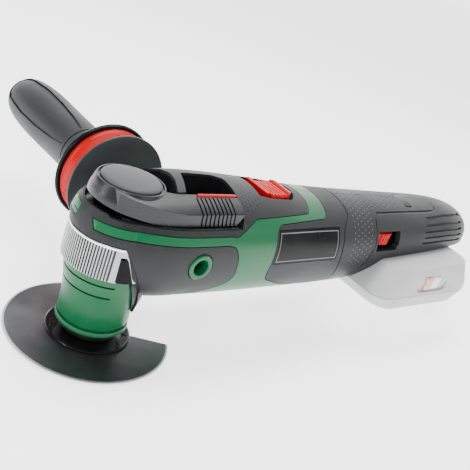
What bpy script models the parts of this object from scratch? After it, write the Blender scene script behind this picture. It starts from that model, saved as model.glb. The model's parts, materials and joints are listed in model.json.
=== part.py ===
"""Cordless oscillating multi tool with a segment blade, side handle and slide-on battery.

Lengths in this script are millimetres; the builders at the top turn them into metres.
Origin: spindle axis in the blade plane.  +X runs to the rear end, +Y to the side handle, +Z up.
"""
import math

import bmesh
import bpy
from mathutils import Matrix, Vector

MM = 0.001
GAP = 0.3              # clearance between touching pieces
SKIN = 1.6             # thickness of the soft overmoulds
WALL = 1.9             # housing wall under an overmould
ROUND = 36             # segments round the housing
FINE = 28              # segments of a large turned piece
SMALL = 16             # segments of a small turned piece

# Driving dimensions
BLADE_RADIUS = 42.5
BLADE_THICKNESS = 1.0
HEAD_RADIUS = 24.0
BAND_LOW, BAND_HIGH = 43.5, 61.5      # ribbed band of the gear head
STRIPE_LOW, STRIPE_HIGH = 66.4, 71.2  # green stripe round the head
LEVER_FLOOR = 73.6                    # top of the head under the lever
SEAM_X = 140.0                        # joint between front housing and rear shells
MOTOR_Z = 54.5                        # height of the motor axis
HANDLE_X, HANDLE_Z = 30.3, 56.0       # axis of the side handle
HINGE_X, HINGE_Z = -14.4, 77.0        # axis of the clamping lever
DIAL_X, DIAL_Y = 178.3, -14.3         # axis of the speed dial
ECCENTRICITY = 0.7

# Barrel sections: x, half width, half height, centre height
BARREL = [
    (-18.0, 13.0, 16.0, 56.5),
    (-8.0, 23.0, 25.0, 56.8),
    (4.0, 28.0, 29.0, 57.2),
    (18.0, 31.0, 30.8, 57.4),
    (34.0, 31.5, 31.3, 57.4),
    (58.0, 31.5, 31.0, 56.6),
    (84.0, 30.6, 30.2, 55.4),
    (112.0, 29.4, 29.0, 54.0),
    (140.0, 28.4, 28.2, 53.2),
    (168.0, 27.4, 27.4, 53.2),
    (200.0, 26.2, 25.8, 53.8),
    (232.0, 25.0, 24.4, 54.4),
    (258.0, 23.2, 22.4, 54.8),
    (276.0, 19.6, 19.0, 55.0),
    (288.0, 13.6, 13.2, 55.0),
    (295.0, 6.0, 5.8, 55.0),
]
HEAD_PROFILE = [(20.4, 74.6), (22.4, 71.6), (24.0, 66.0), (24.4, 58.0), (24.4, 42.4)]
SHROUD_PROFILE = [(24.0, 47.0), (23.4, 40.0), (21.4, 30.0), (19.7, 21.0)]
NECK_PROFILE = [(21.3, 43.0), (20.6, 37.0), (19.0, 29.0), (18.0, 21.0), (18.2, 12.4),
                (17.5, 11.8), (17.5, 11.2), (18.6, 10.6), (18.6, 9.2), (17.6, 8.0)]
GRIP_RADII = [(14.6, 72.5), (13.8, 80.0), (13.6, 95.0), (14.3, 115.0), (15.4, 132.0), (15.4, 150.0),
              (14.6, 165.0), (13.2, 175.0), (11.0, 182.5), (7.6, 188.4), (3.0, 191.6)]

COLOURS = {
    "green": ((0.02, 0.16, 0.075), 0.42, 0.0),
    "rubber": ((0.035, 0.038, 0.040), 0.62, 0.0),
    "black": ((0.008, 0.008, 0.009), 0.25, 0.0),
    "disc_grey": ((0.16, 0.165, 0.17), 0.4, 0.0),
    "red": ((0.62, 0.02, 0.02), 0.35, 0.0),
    "aluminium": ((0.75, 0.76, 0.77), 0.25, 1.0),
    "steel": ((0.45, 0.45, 0.46), 0.3, 1.0),
    "dark_steel": ((0.09, 0.095, 0.10), 0.35, 1.0),
    "copper": ((0.65, 0.28, 0.12), 0.35, 1.0),
    "pale": ((0.72, 0.73, 0.74), 0.45, 0.0),
    "board": ((0.02, 0.09, 0.04), 0.5, 0.0),
    "cell_wrap": ((0.10, 0.22, 0.45), 0.4, 0.0),
}


def clear_scene():
    for item in list(bpy.data.objects):
        bpy.data.objects.remove(item, do_unlink=True)


def make_collection(name):
    group = bpy.data.collections.new(name)
    bpy.context.scene.collection.children.link(group)
    return group


def make_materials():
    table = {}
    for name, (colour, roughness, metallic) in COLOURS.items():
        finish = bpy.data.materials.new(name)
        finish.use_nodes = True
        shader = finish.node_tree.nodes["Principled BSDF"]
        shader.inputs["Base Color"].default_value = (*colour, 1.0)
        shader.inputs["Roughness"].default_value = roughness
        shader.inputs["Metallic"].default_value = metallic
        table[name] = finish
    return table


clear_scene()
PARTS = make_collection("oscillating_multi_tool")
CUTTERS = make_collection("cutters")
CUTTERS.hide_render = True
FINISHES = make_materials()


# ---- builders --------------------------------------------------------------------------------

def add_object(name, mesh, finish=None, at=(0.0, 0.0, 0.0)):
    """Link a mesh as a part, or as a cutter when it has no finish."""
    item = bpy.data.objects.new(name, mesh)
    item.location = Vector(at) * MM
    if finish:
        mesh.materials.clear()
        own = FINISHES[finish].copy()
        own.name = name + "_finish"
        mesh.materials.append(own)
        PARTS.objects.link(item)
    else:
        item.display_type = "WIRE"
        CUTTERS.objects.link(item)
    return item


def mesh_from(shape, name):
    mesh = bpy.data.meshes.new(name)
    shape.to_mesh(mesh)
    shape.free()
    return mesh


def box(name, low, high, finish=None, bevel=0.0):
    """A box between two corners, with its edges rounded by bevel."""
    shape = bmesh.new()
    bmesh.ops.create_cube(shape, size=1.0)
    size = [(h - l) * MM for l, h in zip(low, high)]
    bmesh.ops.scale(shape, vec=size, verts=shape.verts)
    centre = [(l + h) / 2 for l, h in zip(low, high)]
    item = add_object(name, mesh_from(shape, name), finish, centre)
    if bevel:
        soften(item, bevel)
    return item


def soften(item, width, segments=1):
    rounding = item.modifiers.new("edge rounding", "BEVEL")
    rounding.width = width * MM
    rounding.segments = segments
    rounding.limit_method = "ANGLE"
    rounding.angle_limit = math.radians(40)


def turned(name, profile, finish=None, axis="Z", at=(0, 0, 0), steps=FINE):
    """A solid of revolution from (radius, height) points, top to bottom down the outside."""
    shape = bmesh.new()
    points = [shape.verts.new((r * MM, 0.0, h * MM)) for r, h in profile]
    for first, second in zip(points, points[1:]):
        shape.edges.new((first, second))
    if profile[0][0] > 0:
        shape.edges.new((points[-1], points[0]))
    item = add_object(name, mesh_from(shape, name), finish, at)
    screw = item.modifiers.new("turning", "SCREW")
    screw.axis = "Z"
    screw.steps = screw.render_steps = steps
    screw.use_merge_vertices = True
    screw.merge_threshold = 0.00001
    if axis == "X":
        item.rotation_euler = (0.0, math.radians(90), 0.0)
    if axis == "Y":
        item.rotation_euler = (math.radians(-90), 0.0, 0.0)
    return item


def rod(name, radius, low, high, finish=None, axis="Z", at=(0, 0, 0), steps=SMALL):
    profile = [(0, high), (radius, high), (radius, low), (0, low)]
    return turned(name, profile, finish, axis, at, steps)


def ring(name, inner, outer, low, high, finish=None, axis="Z", at=(0, 0, 0), steps=SMALL):
    profile = [(inner, high), (outer, high), (outer, low), (inner, low)]
    return turned(name, profile, finish, axis, at, steps)


def prism(name, outline, low, high, finish=None, axis="Y"):
    """An outline, in (x, z) for axis Y or (x, y) for axis Z, filled and extruded along the axis."""
    curve = bpy.data.curves.new(name, "CURVE")
    curve.dimensions = "2D"
    curve.fill_mode = "BOTH"
    curve.extrude = (high - low) / 2 * MM
    spline = curve.splines.new("POLY")
    spline.points.add(len(outline) - 1)
    spline.use_cyclic_u = True
    for point, (u, v) in zip(spline.points, outline):
        point.co = (u * MM, v * MM, 0.0, 1.0)
    pattern = bpy.data.objects.new(name + "_outline", curve)
    mesh = bpy.data.meshes.new_from_object(pattern)
    bpy.data.objects.remove(pattern)
    shape = bmesh.new()
    shape.from_mesh(mesh)
    bmesh.ops.remove_doubles(shape, verts=shape.verts, dist=0.000001)
    turn = Matrix.Rotation(math.radians(90), 4, "X") if axis == "Y" else Matrix()
    middle = (low + high) / 2 * MM
    shift = Vector((0, middle, 0)) if axis == "Y" else Vector((0, 0, middle))
    bmesh.ops.transform(shape, matrix=Matrix.Translation(shift) @ turn, verts=shape.verts)
    bmesh.ops.recalc_face_normals(shape, faces=shape.faces)
    shape.to_mesh(mesh)
    shape.free()
    return add_object(name, mesh, finish)


def arc(centre, radius, start, end, count):
    """Points of an arc, angles in degrees."""
    steps = [math.radians(start + (end - start) * i / (count - 1)) for i in range(count)]
    return [(centre[0] + radius * math.cos(t), centre[1] + radius * math.sin(t)) for t in steps]


def combine(item, other, operation):
    step = item.modifiers.new(operation.lower(), "BOOLEAN")
    step.operation = operation
    step.solver = "EXACT"
    step.object = other
    return item


def cut(item, *others):
    for other in others:
        combine(item, other, "DIFFERENCE")
    return item


def keep(item, other):
    return combine(item, other, "INTERSECT")


def join(item, *others):
    for other in others:
        combine(item, other, "UNION")
    return item


def hinge_on(item, x, y, z):
    """Move an item's origin to a point of its joint axis without moving the shape."""
    move = Vector((x, y, z)) * MM - item.location
    turn_back = item.rotation_euler.to_matrix().inverted()
    item.data.transform(Matrix.Translation(turn_back @ -move))
    item.location += move
    return item


def finished(item):
    """Replace an item's modifiers by the mesh that they make."""
    bpy.context.view_layer.update()
    graph = bpy.context.evaluated_depsgraph_get()
    mesh = bpy.data.meshes.new_from_object(item.evaluated_get(graph))
    mesh.transform(item.rotation_euler.to_matrix().to_4x4())
    item.modifiers.clear()
    item.data = mesh
    item.rotation_euler = (0, 0, 0)
    return item


# ---- the outer form of the body --------------------------------------------------------------

def barrel_loft(name, inset):
    """Loft the barrel through its rounded sections, drawn in by inset."""
    shape = bmesh.new()
    rings = []
    for index, (x, width, height, centre) in enumerate(BARREL):
        if index == 0:
            x += inset
        if index == len(BARREL) - 1:
            x -= inset
        a, b = max(width - inset, 1.5), max(height - inset, 1.5)
        section = []
        for step in range(ROUND):
            t = 2 * math.pi * step / ROUND
            y = math.copysign(abs(math.cos(t)) ** 0.93, math.cos(t)) * a
            z = math.copysign(abs(math.sin(t)) ** 0.93, math.sin(t)) * b
            section.append(shape.verts.new((x * MM, y * MM, (centre + z) * MM)))
        rings.append(section)
    for first, second in zip(rings, rings[1:]):
        for step in range(ROUND):
            after = (step + 1) % ROUND
            shape.faces.new((first[step], first[after], second[after], second[step]))
    shape.faces.new(rings[0])
    shape.faces.new(rings[-1])
    bmesh.ops.recalc_face_normals(shape, faces=shape.faces)
    return add_object(name, mesh_from(shape, name))


def body_form(name, inset):
    """Barrel, head and neck shroud as one solid, drawn in by inset."""
    form = barrel_loft(name, inset)
    drops = (inset, inset, inset / 2, 0, 0)
    head = [(r - inset, z - drop) for (r, z), drop in zip(HEAD_PROFILE, drops)]
    head[-1] = (head[-1][0], head[-1][1] + inset / 4)
    head = [(0, head[0][1])] + head + [(0, head[-1][1])]
    join(form, turned(name + "_head", head, steps=FINE))
    shroud = [(0, 47.0)] + [(r - inset, z) for r, z in SHROUD_PROFILE] + [(0, 21.0)]
    tongue = turned(name + "_shroud", shroud, steps=FINE)
    wedge = [(-1.5 + inset, 48), (-0.5 + inset, 42), (10.5 + inset, 20), (40, 20), (40, 48)]
    keep(tongue, prism(name + "_wedge", wedge, -40, 40))
    join(form, tongue)
    return finished(form)


def battery_bay(name, grow):
    """The space that the battery takes up under the rear of the barrel."""
    outline = [(151.4 - grow, 20.0), (156.9 - grow, 31.0), (182.4 - grow, 50.0 + grow),
               (262.0, 53.6 + grow), (310.0, 53.6 + grow), (310.0, 20.0)]
    return prism(name, outline, -60, 60)


def neck_bore(name, grow):
    profile = [(r + grow, z) for r, z in NECK_PROFILE if z > 20.0]
    profile = [(0, 43.3)] + [(profile[0][0], 43.3)] + profile[1:] + [(profile[-1][0], 5.0), (0, 5.0)]
    return turned(name, profile)


def band_space():
    """Room for the gear head and its open front."""
    space = rod("band_space", HEAD_RADIUS - GAP, BAND_LOW - GAP, BAND_HIGH + GAP, steps=FINE)
    front = [(-40, 38.0), (0.9, 38.0), (0.5, BAND_LOW), (-5.5, 57.0), (-9.0, BAND_HIGH + 0.4),
             (-40, BAND_HIGH + 0.4)]
    return finished(join(space, prism("band_front", front, -40, 40)))


def lever_space():
    """Room over the head for the clamping lever and for the fingers behind it."""
    space = rod("lever_space", 19.3, LEVER_FLOOR, 110, steps=FINE)
    arm = [(-4, -10), (-4, -40), (47.5, -40), (55.4, -22.0), (54.6, -12.2), (20, -12.2)]
    pocket = [(19.5, -12.5), (19.5, 1.5), (22, 4), (47, 4), (51, 1.0), (54.6, -12.5)]
    join(space, prism("arm_space", arm, LEVER_FLOOR + 0.1, 109, axis="Z"))
    join(space, prism("finger_space", pocket, LEVER_FLOOR + 1.5, 108, axis="Z"))
    behind = arc((0, 0), 23.5, -42, 62, 9) + [(0, 12), (0, -12)]
    join(space, prism("groove_space", behind, LEVER_FLOOR + 4.0, 107, axis="Z"))
    join(space, prism("hinge_notch", arc((0, 0), 19.1, 118, 242, 10), 71.9, 91, axis="Z"))
    join(space, rod("rod_hole", 3.4, 60.0, 90))
    return finished(space)


def switch_space():
    outline = [(72.5, -11.5), (80, -12.6)] + arc((91, 0), 13.4, -62, 62, 7) + [(80, 12.6), (72.5, 11.5)]
    return prism("switch_space", outline, 81.0, 110, axis="Z")


# Side-view outlines of the overmoulds, as (x, z)
HEAD_GRIP = [(-40, 95), (108.0, 95), (108.0, 81), (106.0, 78), (63.5, 78), (50.5, 70.7),
             (46.0, STRIPE_HIGH), (-21.0, STRIPE_HIGH), (-21.0, STRIPE_LOW), (45.0, STRIPE_LOW),
             (50.0, 64.8), (52.6, 60.0), (54.6, 50.0), (52.6, 43.6), (41.0, 36.6), (31.0, 31.5),
             (26.0, 20.0), (-40, 20)]
MID_GRIP = [(124.8, 95), (122.6, 78.5), (120.4, 75.0), (82.6, 74.4), (79.4, 71.6), (79.0, 46.5),
            (83.0, 42.8), (98.0, 36.8), (116.0, 31.0), (128.0, 20), (SEAM_X - 0.4, 20),
            (SEAM_X - 0.4, 95)]


def grown(outline, amount):
    """Push an outline outwards by a small amount, point by point."""
    result = []
    count = len(outline)
    area = sum(outline[i][0] * outline[(i + 1) % count][1] - outline[(i + 1) % count][0] * outline[i][1]
               for i in range(count))
    side = 1.0 if area > 0 else -1.0
    for i, (x, z) in enumerate(outline):
        before = Vector(outline[i - 1])
        after = Vector(outline[(i + 1) % count])
        here = Vector((x, z))
        one = (here - before).normalized()
        two = (after - here).normalized()
        normal = Vector((one.y + two.y, -one.x - two.x)).normalized() * side
        reach = amount / max(0.5, normal.dot(Vector((one.y, -one.x)) * side))
        result.append((x + normal.x * reach, z + normal.y * reach))
    return result


# ---- shells and overmoulds -------------------------------------------------------------------

def body_tools():
    """The cutters that every outer piece shares."""
    return {
        "outer": body_form("form_outer", 0.0),
        "under": body_form("form_under", SKIN),
        "seat": body_form("form_seat", SKIN + GAP),
        "inner": body_form("form_inner", SKIN + GAP + WALL),
        "neck": neck_bore("neck_space", 0.35),
        "band": band_space(),
        "lever": lever_space(),
        "switch": switch_space(),
        "boss": rod("boss_space", 7.2, -40, 40, axis="Y", at=(HANDLE_X, 0, HANDLE_Z), steps=24),
    }


def copy_of(source, name, finish=None):
    copy = add_object(name, source.data.copy(), finish)
    copy.location = source.location
    return copy


def skin_piece(name, outline, tools, finish):
    """A soft overmould: the outer skin of the body inside a side-view outline."""
    piece = copy_of(tools["outer"], name, finish)
    cut(piece, tools["under"])
    keep(piece, prism(name + "_area", outline, -45, 45))
    return piece


def head_grip(tools):
    piece = skin_piece("head_grip", HEAD_GRIP, tools, "rubber")
    return cut(piece, tools["neck"], tools["band"], tools["lever"], tools["switch"], tools["boss"])


def mid_grip(tools):
    piece = skin_piece("mid_grip", MID_GRIP, tools, "rubber")
    plate = [(80.5, 72.2), (131.8, 71.2), (132.6, 53.4), (80.5, 54.2)]
    return cut(piece, prism("plate_space", grown(plate, GAP), -45, -10))


def name_plate(tools):
    plate = [(80.5, 72.2), (131.8, 71.2), (132.6, 53.4), (80.5, 54.2)]
    piece = copy_of(tools["outer"], "name_plate", "black")
    cut(piece, tools["under"])
    return keep(piece, prism("name_plate_area", plate, -45, -10))


def front_cavity(tools):
    """The hollow of the front housing; it stays shut under the lever and the switch."""
    cavity = copy_of(tools["inner"], "front_cavity")
    cut(cavity, box("lever_floor", (-30, -40, 70.0), (60, 40, 100)))
    cut(cavity, box("switch_floor", (70, -20, 77.6), (122, 20, 100)))
    return finished(cavity)


def housing_half(name, side, tools, cavity):
    """One green half of the front housing; side is -1 for near and 1 for far."""
    half = copy_of(tools["outer"], name, "green")
    low, high = (0.15, 60) if side > 0 else (-60, -0.15)
    keep(half, box(name + "_side", (-60, low, 0), (SEAM_X - 0.4, high, 120)))
    for label, outline in (("head", HEAD_GRIP), ("mid", MID_GRIP)):
        pocket = prism(name + label + "_pocket", grown(outline, GAP), -45, 45)
        cut(pocket, tools["seat"])
        cut(half, finished(pocket))
    cut(half, cavity, tools["neck"], tools["band"], tools["lever"], tools["switch"], tools["boss"])
    return half


def rear_shell(name, side, tools):
    shell = copy_of(tools["outer"], name, "rubber")
    low, high = (0.15, 60) if side > 0 else (-60, -0.15)
    keep(shell, box(name + "_side", (SEAM_X, low, 0), (310, high, 120)))
    hollow = copy_of(tools["inner"], name + "_hollow")
    cut(hollow, battery_bay(name + "_floor", 2.4))
    cut(shell, finished(hollow), battery_bay(name + "_bay", 0.0))
    cut(shell, box(name + "_dock", (213.7, -11.3, 40), (236.3, 24.3, 60)))
    return shell


def rear_shells(tools):
    near = rear_shell("rear_shell_near", -1, tools)
    cut(near, box("dial_window", (170.3, -40, 55.6), (193.0, -14.0, 67.4)))
    cut(near, rod("dial_space", 11.6, 58.5, 66.8, at=(DIAL_X, DIAL_Y, 0), steps=20))
    far = rear_shell("rear_shell_far", 1, tools)
    window = box("status_space", (207.4, -10.4, 70), (213.6, 4.4, 100))
    cut(near, window)
    cut(far, window)
    return near, far


def neck_sleeve():
    inner = [(16.4, 8.0), (16.4, 42.7)]
    outer = [(r, z) for r, z in NECK_PROFILE]
    outer[0] = (outer[0][0], 42.7)
    return turned("neck_sleeve", outer + inner, "green", steps=FINE)


def handle_insert(name, side):
    """Threaded brass insert with a coloured rim for the side handle."""
    inner, outer = (19.0, 32.2)
    profile = [(4.2, outer), (6.7, outer), (6.7, inner), (4.2, inner)]
    if side < 0:
        profile = [(4.2, -inner), (6.7, -inner), (6.7, -outer), (4.2, -outer)]
    return turned(name, profile, "green", "Y", (HANDLE_X, 0, HANDLE_Z), 24)


def body_shells():
    tools = body_tools()
    cavity = front_cavity(tools)
    housing_half("housing_near", -1, tools, cavity)
    housing_half("housing_far", 1, tools, cavity)
    head_grip(tools)
    mid_grip(tools)
    name_plate(tools)
    rear_shells(tools)
    neck_sleeve()
    handle_insert("handle_insert_near", -1)
    handle_insert("handle_insert_far", 1)


# ---- gear head, spindle and drive ------------------------------------------------------------

def gear_head():
    profile = [(20.0, BAND_HIGH), (23.4, BAND_HIGH), (23.4, BAND_LOW), (15.8, BAND_LOW), (15.8, 26.0),
               (13.4, 26.0), (13.4, 45.5), (20.0, 45.5)]
    head = turned("gear_head", profile, "aluminium", steps=ROUND)
    return cut(head, box("fork_window", (6, -12, 47.0), (40, 12, 80)))


def band_window(name, side):
    """Glossy black end piece of the ribbed band."""
    outline = [(-9.2, 56.6), (-6.2, 56.6), (-0.7, 44.2), (-8.8, 44.2)]
    low, high = sorted((side * 18.0, side * 26.0))
    window = ring(name, HEAD_RADIUS - GAP, HEAD_RADIUS + 0.5, 40, 62, "black", steps=FINE)
    return keep(window, prism(name + "_area", outline, low, high))


def spindle_group():
    turned("spindle", [(3.5, 69.5), (5.9, 69.5), (5.9, 29.6), (9.0, 29.6), (9.0, 12.0), (3.5, 12.0),
                       (3.5, 13.9), (6.5, 13.9), (6.5, 28.1), (3.5, 28.1)], "steel", steps=20)
    turned("tool_holder", [(3.5, 11.7), (15.6, 11.7), (16.2, 8.4), (14.6, 3.8), (12.6, 2.2),
                           (6.0, 2.2), (6.0, 4.6), (3.5, 4.6)], "dark_steel", steps=24)
    ring("lower_bearing", 6.2, 13.1, 30.0, 38.0, "steel", steps=20)
    ring("upper_bearing", 6.2, 11.0, 62.0, 68.0, "steel", steps=20)
    turned("bearing_plate", [(11.3, 67.4), (17.0, 67.0), (19.2, 62.0), (11.3, 62.0)], "aluminium",
           steps=20)


def rocker_fork():
    fork = ring("rocker_fork", 6.2, 10.4, 49.5, 59.5, "steel", steps=24)
    for side in (-1, 1):
        low, high = sorted((side * 7.9, side * 10.1))
        join(fork, box(f"fork_arm{side}", (5.0, low, 50.0), (32.0, high, 59.0)))
    return fork


def clamp_group():
    """The rod that works the clamp, pulled up by a stack of disc springs inside the spindle."""
    turned("clamp_rod", [(0, 76.1), (2.9, 76.1), (2.9, 1.9), (5.6, 1.9), (5.6, 0.0), (0, 0.0)], "steel")
    folds = 4
    pitch = 13.0 / (2 * folds)
    outer = [(6.2 if step % 2 else 5.0, 27.6 - pitch * step) for step in range(2 * folds + 1)]
    inner = [(4.4 if step % 2 else 3.2, z) for step, (r, z) in enumerate(outer)]
    turned("clamp_spring", outer + inner[::-1], "steel", steps=12)


def rotor():
    """Rotor shaft with its crank pin, set off the axis, as one turned and ground piece."""
    shaft = rod("rotor_shaft", 2.5, 33.0, 166.0, "steel", "X", (0, 0, MOTOR_Z))
    pin = rod("crank_pin", 1.7, 20.0, 36.0, None, "X", (0, 0, MOTOR_Z + ECCENTRICITY))
    join(shaft, pin)
    ring("eccentric_bearing", 2.0, 6.3, 22.0, 30.0, "steel", "X", (0, 0, MOTOR_Z + ECCENTRICITY), 20)
    slots = 12
    outline = []
    for step in range(slots):
        middle = 360.0 * step / slots
        outline += arc((0, 0), 15.4, middle - 11, middle + 11, 3)
        outline += arc((0, 0), 11.0, middle + 13, middle + 17, 2)
    core = prism("rotor_core", outline, 0, 40, "copper", "Z")
    stand_along_x(core, 86.0)
    cut(core, rod("rotor_bore", 2.8, 80, 140, None, "X", (0, 0, MOTOR_Z)))
    vanes = 11
    outline = []
    for step in range(vanes):
        start = 360.0 * step / vanes
        outline += [polar(7.0, start), polar(19.0, start + 14),
                    polar(19.0, start + 20), polar(7.0, start + 14)]
    fan = prism("cooling_fan", outline, 0, 6, "pale", "Z")
    stand_along_x(fan, 142.0)
    cut(fan, rod("fan_bore", 2.8, 140, 160, None, "X", (0, 0, MOTOR_Z)))


def polar(radius, degrees):
    return radius * math.cos(math.radians(degrees)), radius * math.sin(math.radians(degrees))


def stand_along_x(item, start):
    """Turn a shape built up from z = 0 so that it runs along the motor axis from x = start."""
    item.data.transform(Matrix.Rotation(math.radians(90), 4, "Y"))
    item.location = Vector((start, 0, MOTOR_Z)) * MM


def motor():
    ring("motor_can", 19.0, 20.6, 78.0, 138.0, "steel", "X", (0, 0, MOTOR_Z), FINE)
    ring("motor_magnet", 16.0, 18.7, 84.0, 130.0, "dark_steel", "X", (0, 0, MOTOR_Z), FINE)
    ring("motor_mount", 8.3, 22.5, 68.0, 74.0, "aluminium", "X", (0, 0, MOTOR_Z), 24)
    ring("front_bearing", 2.8, 8.0, 68.5, 73.5, "steel", "X", (0, 0, MOTOR_Z), SMALL)
    ring("rear_bearing", 2.8, 8.0, 156.0, 161.0, "steel", "X", (0, 0, MOTOR_Z), SMALL)
    bracket = ring("rear_bracket", 8.3, 18.0, 155.5, 161.5, "rubber", "X", (0, 0, MOTOR_Z), 24)
    cut(bracket, battery_bay("bracket_bay", 3.0))


# ---- lever -----------------------------------------------------------------------------------

def lever_body():
    """The clamping lever: a round cap over the head and an arm along the near side."""
    section = [(0, 84.8), (16.6, 85.9), (17.9, 85.2), (18.7, 80.0), (18.9, 74.4), (16.6, 74.4),
               (16.6, 82.4), (0, 82.4)]
    cap = turned("lever_body", section, "rubber", steps=FINE)
    arm = arm_blank("lever_arm", 1.2)
    cut(arm, rod("arm_bore", 17.2, 60, 82.9, steps=FINE))
    cut(arm, box("strip_seat", (28.9, -14.9, 84.0), (53.4, -12.0, 95)))
    join(cap, finished(arm))
    cut(cap, rod("disc_seat", 15.7, 85.0, 100, steps=FINE))
    cut(cap, box("lever_nose", (-30, -30, 60), (HINGE_X, 30, 76.4)))
    return hinge_on(finished(cap), HINGE_X, 0, HINGE_Z)


def arm_blank(name, proud):
    """The arm follows the barrel, slightly proud of it."""
    blank = body_form(name, -proud)
    outline = [(0, -8), (-3.5, -40), (46.5, -40), (54.7, -22.0), (53.9, -12.8), (20.3, -12.8),
               (17.0, -12.6)]
    keep(blank, prism(name + "_area", outline, LEVER_FLOOR + 0.7, 87.2, axis="Z"))
    return finished(blank)


def lever():
    lever_body()
    disc = turned("lever_disc", [(0, 87.4), (13.0, 87.2), (15.0, 86.6), (15.4, 85.4), (0, 85.4)],
                  "disc_grey", steps=FINE)
    hinge_on(finished(disc), HINGE_X, 0, HINGE_Z)
    pin = rod("lever_pin", 0.9, -5.2, 5.2, "steel", "Y", (HINGE_X, 0, HINGE_Z), 12)
    hinge_on(finished(pin), HINGE_X, 0, HINGE_Z)
    lug = [(-15.8, 77.6), (-15.4, 78.6), (-14.4, 79.0), (-13.2, 78.6), (-8.5, 75.0), (-8.5, 73.9),
           (-13.0, 73.9), (-15.0, 75.6), (-15.8, 76.4)]
    bracket = prism("lever_bracket", lug, -3.8, 3.8, "steel")
    cut(bracket, rod("pin_bore", 1.15, -10, 10, axis="Y", at=(HINGE_X, 0, HINGE_Z)))
    cam = prism("lever_cam", [(-8.0, 82.1), (-8.0, 78.0), (-1.0, 76.4), (2.8, 76.4), (4.0, 82.1)],
                -4, 4, "steel")
    hinge_on(cam, HINGE_X, 0, HINGE_Z)
    strip = body_form("strip_form", -1.4)
    keep(strip, box("strip_area", (29.2, -14.6, 84.3), (53.1, -12.9, 90.0)))
    strip = copy_of(finished(strip), "lever_strip", "red")
    hinge_on(strip, HINGE_X, 0, HINGE_Z)


# ---- controls --------------------------------------------------------------------------------

def controls():
    outline = [(79.2, 9.3), (79.2, -9.3)] + arc((91.5, 0), 10.8, -60, 60, 7)
    button = prism("switch_button", outline, 81.4, 85.4, "red", "Z")
    for step in range(4):
        x = 83.5 + 3.0 * step
        cut(button, box(f"thumb_groove{step}", (x, -20, 84.4), (x + 1.2, 20, 90)))
    teeth = 20
    rim = []
    for step in range(teeth):
        middle = 360.0 * step / teeth
        rim += arc((DIAL_X, DIAL_Y), 11.0, middle - 5.2, middle + 5.2, 2)
        rim += arc((DIAL_X, DIAL_Y), 10.3, middle + 8.0, middle + 10.0, 2)
    dial = prism("speed_dial", rim, 59.0, 66.2, "red", "Z")
    cut(dial, rod("dial_bore", 2.0, 50, 80, at=(DIAL_X, DIAL_Y, 0)))
    hinge_on(finished(dial), DIAL_X, DIAL_Y, 60)
    turned("dial_post", [(0, 66.9), (1.7, 66.9), (1.7, 58.4), (5.5, 58.4), (5.5, 53.2), (0, 53.2)],
                  "board", at=(DIAL_X, DIAL_Y, 0))
    box("control_board", (196, -14, 63.0), (250, 14, 64.6), "board")
    box("status_window", (207.7, -10.1, 76.6), (213.3, 4.1, 78.4), "black")


# ---- blade -----------------------------------------------------------------------------------

def blade():
    """Segment blade: a disc with fine teeth, cut away towards the rear, and its raised hub."""
    teeth = 64
    start, end = -30.0, -304.0
    outline = []
    for step in range(teeth):
        angle = start + (end - start) * step / teeth
        outline += [polar(BLADE_RADIUS, angle), polar(BLADE_RADIUS - 0.9, angle - 0.35 * 274 / teeth)]
    outline += [polar(20.0, end - 4), polar(17.4, end - 10)]
    outline += arc((0, 0), 17.4, end - 20, end - 76, 6) + [polar(20.0, start + 4)]
    body = prism("blade", outline, 0.0, BLADE_THICKNESS, "dark_steel", "Z")
    cut(body, rod("blade_bore", 16.6, -5, 5, steps=FINE))
    turned("blade_hub", [(6.4, 1.8), (12.2, 1.8), (16.2, 1.9), (21.9, 2.1), (21.9, 1.4), (16.3, 1.3),
                         (16.3, 0.0), (6.4, 0.0)], "dark_steel", steps=FINE)


# ---- side handle -----------------------------------------------------------------------------

def side_handle():
    place = (HANDLE_X, 0, HANDLE_Z)
    grip = [(0, 192.2)] + [(r, y) for r, y in reversed(GRIP_RADII)]
    grip += [(5.4, 72.5), (5.4, 110.0), (0, 110.0)]
    turned("handle_grip", grip, "rubber", "Y", place, FINE)
    turned("handle_outer_flange", [(5.4, 72.2), (16.0, 72.2), (28.6, 69.6), (29.6, 67.9), (29.2, 66.6),
                                   (5.4, 66.6)], "black", "Y", place, FINE)
    turned("handle_red_ring", [(5.4, 66.3), (27.6, 66.3), (26.2, 61.0), (28.2, 54.9), (5.4, 54.9)],
           "red", "Y", place, FINE)
    turned("handle_inner_disc", [(5.4, 54.6), (29.0, 54.6), (29.4, 53.6), (29.0, 52.8), (13.0, 52.4),
                                 (10.0, 33.0), (5.4, 33.0)], "rubber", "Y", place, FINE)
    rod("handle_stud", 3.9, 21.0, 108.0, "steel", "Y", place)


# ---- battery ---------------------------------------------------------------------------------

CELL_X = (181.8, 246.6)
CELL_Z, CELL_RADIUS, CELL_PITCH, FIRST_CELL_Y = 35.8, 9.1, 18.7, -32.5
PACK_FAR = 58.0
PACK_SEAM = 34.0


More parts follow.
